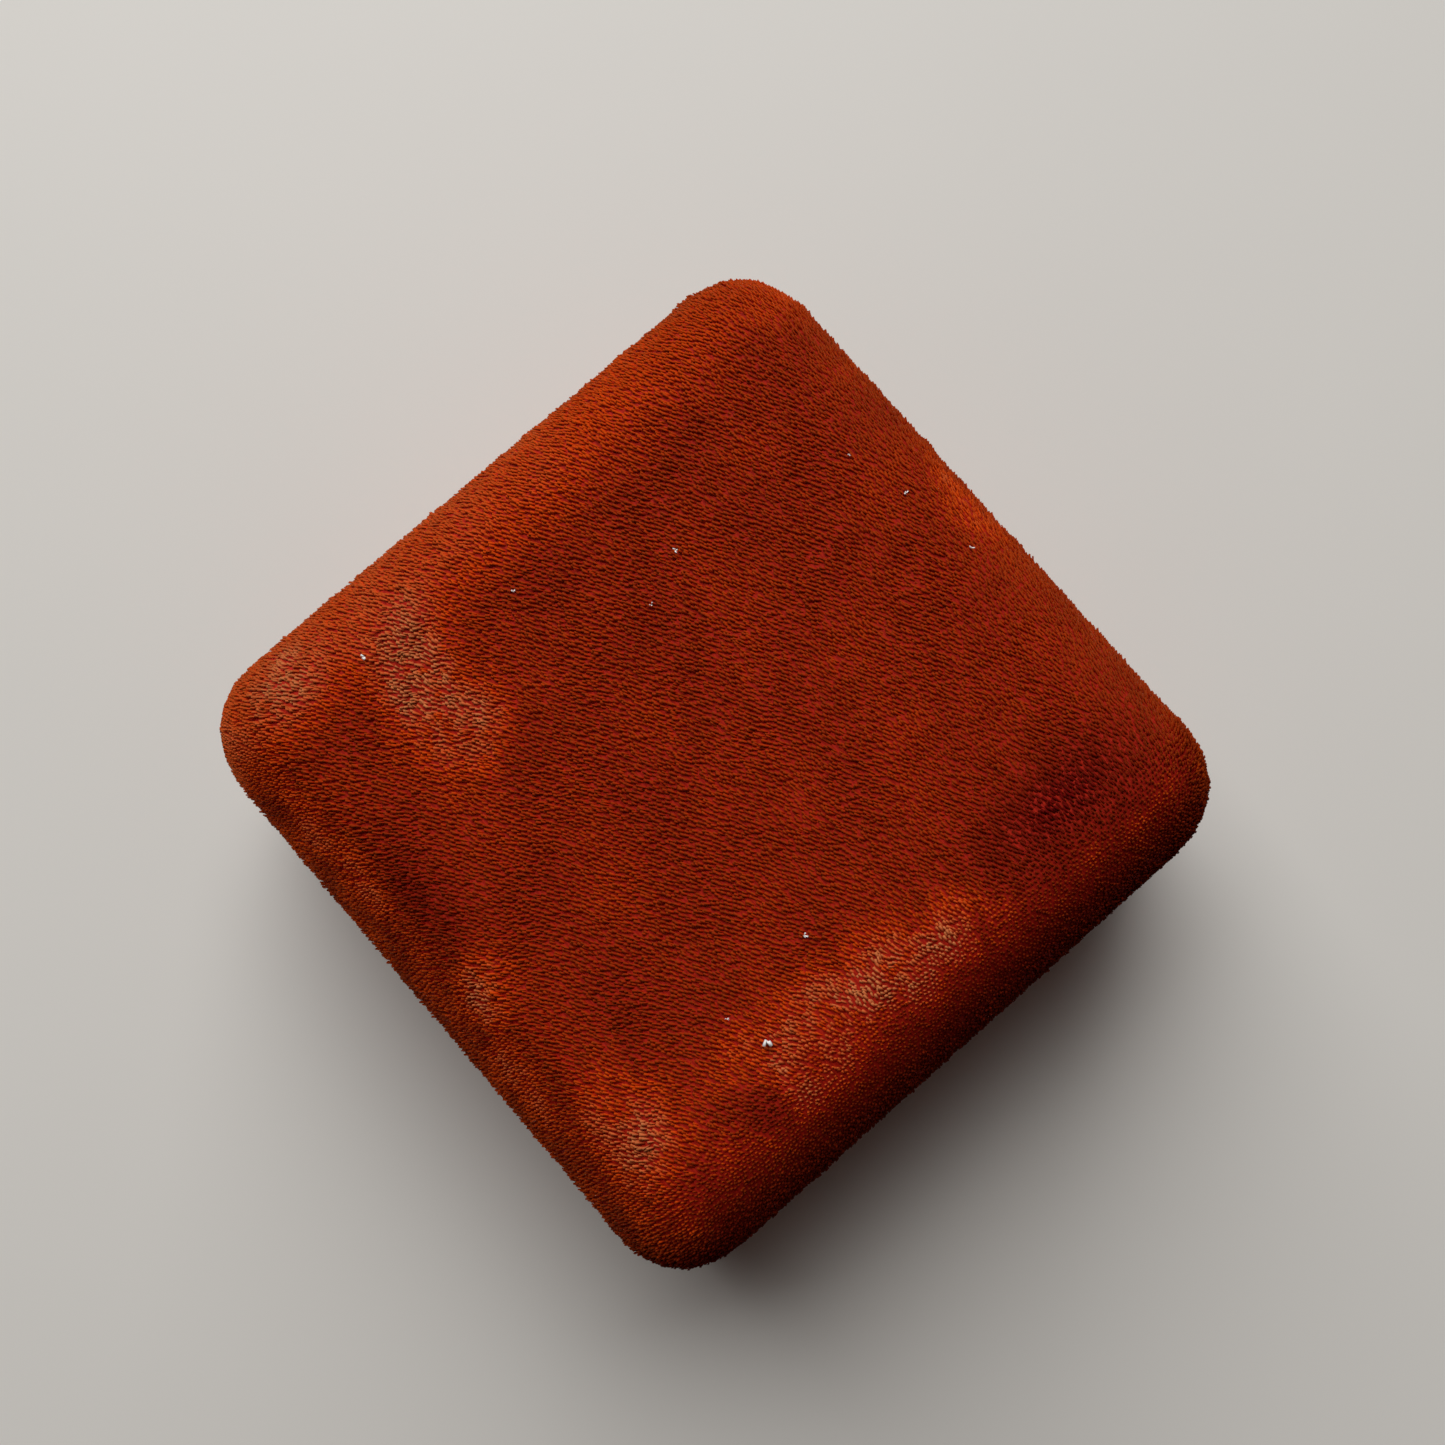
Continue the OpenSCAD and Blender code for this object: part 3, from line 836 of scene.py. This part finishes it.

# ---------------------------------------------------------------------------------------------
# Lid velvet. The cloth that shows most. It is drawn over the wadding, down the sides and in
# over the shell's edge. Its nap leans towards the back and a little left, and handling has
# rubbed it pale in patches: on its front and left shoulders, at the left corner, on the top.
# On the shoulders the pale is partly painted sheen, light glancing over the tips. The back
# shoulder also has a painted highlight, and the front and left shoulders painted shade.

CROWN = 0.75 * MM
RUBS_AND_SHEEN = [
    # across and along, half length and half width in mm, turn in degrees, and how rubbed, on the
    # shoulders partly as painted sheen
    (-15, 21, 5.5, 2.8, 75, 1.0), (-13.5, 15.5, 4.0, 2.0, 60, 0.6), (-29, -3.5, 2.6, 1.8, 40, 0.7),
    (-1, -25.8, 10.0, 2.6, -12, 1.0), (-13.2, -25, 2.4, 2.0, 0, 0.8), (-28, -24, 3.6, 7.0, -20, 0.75),
    (22, -29.5, 6.0, 1.2, 0, 0.5), (-24.5, 29.5, 3.0, 2.2, 30, 0.8), (-32, -11, 1.8, 6.0, 0, 0.5),
    (-12, -28, 10.0, 2.2, 0, 0.6), (-31.5, 14, 2.0, 8.0, 0, 0.45), (33, 2, 2.0, 4.0, 0, 0.3)]
# Spots where the pile is darker: fresh pile, and on the front shoulder and wall painted shade.
FRESH_AND_SHADE = [  # the same, but for the last: how much of the wear is missing there
    (20, -24.0, 8.0, 3.6, 0, 1.0), (-27.5, 6.5, 2.0, 4.5, 0, 0.7), (-22, -14, 4, 3, 30, 0.4),
    (5, -33.0, 26.0, 3.2, 0, 0.65), (-25, -33.5, 8.0, 3.0, 0, 0.6), (-17, -27.5, 2.5, 2.0, 20, 0.7),
    (-27, -29, 6.0, 3.5, -40, 0.45)]


def spots(across, along, places):
    """The strongest of some oval spots at each place. A spot is a normal curve of the distance,
    measured in its half length and half width after it is turned."""
    strength = np.zeros(across.shape)
    for x, y, long, wide, turn, most in places:
        cosine, sine = np.cos(np.radians(turn)), np.sin(np.radians(turn))
        beyond, aside = across / MM - x, along / MM - y
        first = (beyond * cosine + aside * sine) / long
        second = (aside * cosine - beyond * sine) / wide
        strength = np.maximum(strength, most * np.exp(-0.7 * (first**2 + second**2)))
    return strength


def lid_wear_and_shading(across, along):
    """How rubbed the pile is, with painted shading, and how far it stands up. Plain pile is 0.25.
    Rubbed spots add to it, the front and left shoulders faintly, partly as painted sheen on the
    tips, and soft random change breaks both up. The back shoulder gets a painted highlight, the
    front and left painted shade, and fresh spots take the rubbing away; those on the front
    shoulder and wall are painted shade. The pile stands up on the front and left shoulders, and
    less further down the wall."""
    patchy = 1 + 0.45 * drift(across, along, 6 * MM, 41) + 0.3 * drift(across, along, 1.6 * MM, 42)
    worn = spots(across, along, RUBS_AND_SHEEN) * patchy
    front = np.clip((-along / MM - 24) / 6, 0, 1)
    left = np.clip((-across / MM - 27) / 5, 0, 1)
    shoulder = np.maximum(front, 0.8 * left)
    # The faint pale on the front and left shoulders is partly painted sheen: glancing light on the
    # tips.
    worn = np.maximum(worn, 0.22 * shoulder * patchy) * np.clip((along / MM + 35.5) / 4, 0, 1)
    # Painted highlight: the back shoulder, which faces the window, is made paler, less so to the right.
    bright = np.clip((along / MM - 22) / 6, 0, 1) * (1 - 0.6 * np.clip(across / MM / 25, 0, 1))
    worn = 0.25 + 0.75 * worn + 0.24 * bright + 0.02 * drift(across, along, 9 * MM, 43)
    # Painted shade: the front and left shoulders, which face away from the window, are made darker.
    worn = worn - 0.12 * np.clip((-along / MM - 23) / 5, 0, 1) - 0.08 * left
    # The fresh spots on the front shoulder and wall are painted shade.
    worn = worn * (1 - spots(across, along, FRESH_AND_SHADE))
    over = np.maximum(abs(across), abs(along)) - FLAT
    return np.clip(worn, 0, 1), shoulder * np.clip((15 * MM - over) / (4 * MM), 0, 1)


lid_velvet = covering("lid_velvet_back", LID_START, LID_PIECES, 1, 0, CROWN)
thicken(lid_velvet, BACKING)
settle(lid_velvet, back_finish, "lid", "velvet", "lid_velvet")
for name, half in (("back", 1), ("front", -1)):
    for place, low, high in (("top", 0, 3 * MM), ("side", 3 * MM, NO_LIMIT)):
        part = pile_on("lid_pile_%s_%s" % (place, name), LID_START, LID_PIECES, 1, low, high, half,
                       lid_wear_and_shading, 400, CROWN)
        settle(part, pile_finish, "lid", "velvet")

# ---------------------------------------------------------------------------------------------
# Lid lining. A satin strip round the wall, and a satin pad on a card. The card holds the satin's
# turned-in edge, and the wadding behind it puffs it out.

lid_lining = side_lining("lid_satin_strip", "lid_side_lining", 32, 1.0)
settle(lid_lining, satin_finish, "lid", "satin", "lid_side_lining")
paint("lid_pad_board", board_finish)
low, high = (np.array(corner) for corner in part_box("lid_pad_wadding"))
pad_wadding = block("lid_pad_wadding_sheet", (low + 0.1 * MM).tolist(), (high - 0.1 * MM).tolist(),
                    [4 * MM] * 4, 0.6 * MM)
settle(pad_wadding, wadding_finish, "lid", "wadding", "lid_pad_wadding")


def satin_pad():
    """The pad's satin: a flat back against the card, a round edge that bulges 1.2 mm past its
    solid, and a face that hangs lowest in the middle. Simulation puffs it. Then gathers run in
    from its edge: waves that are the same all along a line to the middle, and are gone by 14 mm
    from it."""
    low, high = (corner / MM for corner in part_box("lid_pad_satin"))
    border = outline((low.x, low.y), (high.x, high.y), [5.2] * 4)
    rings, bulge = 22, 1.2
    way = np.linspace(0.05, 1, rings)
    turn = np.linspace(0, QUARTER, 7)
    inset = np.concatenate([np.zeros(rings), -bulge * np.sin(turn),
                            1.5 * (1 - np.cos(turn)) - bulge, np.full(rings, 0.3)])
    scale = np.concatenate([way, np.ones(2 * len(turn)), way[::-1]])
    face = low.z + 0.35 - 0.25 * np.cos(way * QUARTER) ** 1.5
    height = np.concatenate([face, low.z + 0.35 + 0.5 * (1 - np.cos(turn)),
                             high.z - 1.3 + 1.3 * np.sin(turn), np.full(rings, high.z)])
    piece = stack_rings("lid_satin_pad", (border[0] * MM, border[1]), inset * MM,
                        scale, height * MM)
    swell(piece, 1.1 * MM, 4, 0.3 * MM)
    points = points_of(piece.data)
    far = np.abs(points[:, :2]).max(1)
    ray = points[:, :2] / np.maximum(far, MM)[:, None] * 30 * MM
    fade = np.clip((far - 14 * MM) / (16 * MM), 0, 1) ** 1.6 * (points[:, 2] < (low.z + 1.6) * MM)
    points[:, 2] += 0.16 * MM * fade * drift(ray[:, 0], ray[:, 1], 3 * MM, 55)
    piece.data.vertices.foreach_set("co", points.astype(np.float32).ravel())
    return piece


pad_satin = settle(satin_pad(), satin_finish, "lid", "satin", "lid_pad_satin")

# ---------------------------------------------------------------------------------------------
# Lint. A few white fibres have caught in the lid's pile. They are held by it and move with it.

LINT = [  # across and along in mm, and how large
    (-18.0, 26.4, 0.9), (9.1, 15.6, 0.6), (-4.2, 22.2, 0.5), (4.2, 13.3, 0.4), (-4.8, -17.4, 0.6),
    (-13.1, -21.9, 1.2), (-14.5, -18.3, 0.5), (29.2, -1.5, 0.5), (28.0, 6.0, 0.6), (26.5, 12.0, 0.4)]


def lint():
    """Clots of three short fibres that lie nearly flat on the pile's tips, each turned its way."""
    draw = np.random.default_rng(61)
    across, along, large = np.repeat(LINT, 3, axis=0).T
    across = (across + draw.normal(0, 0.1, len(across)) * large) * MM
    along = (along + draw.normal(0, 0.1, len(along)) * large) * MM
    root, normal, first, second = drape(across, along, LID_START, LID_PIECES, 1, CROWN)
    turn = draw.uniform(0, 2 * np.pi, (len(across), 1))
    way = first * np.cos(turn) + second * np.sin(turn) + 0.15 * normal
    way *= draw.uniform(0.25, 0.5, (len(across), 1)) * large[:, None] * MM
    return stand_pile("lint", root + (PILE + 0.15 * MM) * normal, normal, way, 0.14 * MM * large, 62,
                      worn=np.ones(len(across)))


lint_white = ((0.8, 0.78, 0.76), (0.85, 0.83, 0.82), (0.85, 0.83, 0.82), (0.9, 0.89, 0.88))
lint_finish = pile_fibre("lint", lint_white, lint_white, (1, 1, 1))
settle(lint(), lint_finish, "lid", "velvet")

# ---------------------------------------------------------------------------------------------
# The room: a pale floor, the light of one large window beyond the back of the case, dim light
# from everywhere else, and the camera, which looks down from just in front of the case.


def floor_stone():
    """Honed pale stone with a faint cloudiness."""
    material, tree, shader = start_finish("floor_stone", Specular_IOR_Level=0.3)
    cloud = grain(tree, 9, 4)
    tree.links.new(two_tone(tree, cloud, (0.71, 0.70, 0.675), (0.77, 0.76, 0.735)),
                   shader.inputs["Base Color"])
    tree.links.new(spread(tree, cloud, 0.45, 0.6), shader.inputs["Roughness"])
    return material


def lamp(name, place, size, watts, colour):
    """A square soft light at a place, turned towards the middle of the floor."""
    light = bpy.data.lights.new(name, "AREA")
    light.shape = "SQUARE"
    light.size = size
    light.energy = watts
    light.color = colour
    lit = bpy.data.objects.new(name, light)
    lit.location = place
    lit.rotation_euler = (-lit.location).to_track_quat("-Z", "Y").to_euler()
    lit.visible_camera = False
    bpy.context.scene.collection.objects.link(lit)


floor = build("floor", [(-2, -2, 0), (2, -2, 0), (2, 2, 0), (-2, 2, 0)], np.array([[0, 1, 2, 3]]))
floor.data.materials.append(floor_stone())
lamp("window", (0.3924, 0.8046, 0.85), 1.3, 20.5, (1.0, 0.99, 0.965))
world = bpy.data.worlds.new("room")
world.use_nodes = True
world.node_tree.nodes["Background"].inputs["Color"].default_value = (1.0, 0.76, 0.66, 1)
world.node_tree.nodes["Background"].inputs["Strength"].default_value = 0.045
bpy.context.scene.world = world
bpy.context.scene.view_settings.view_transform = "Standard"
view = bpy.data.cameras.new("view")
view.sensor_width = 36
view.lens = 38.99
camera = bpy.data.objects.new("view", view)
camera.location = (-0.00746, -0.00971, 0.16995)
camera.rotation_euler = np.radians((6.084, 0, -41.077))
bpy.context.scene.collection.objects.link(camera)
bpy.context.scene.camera = camera
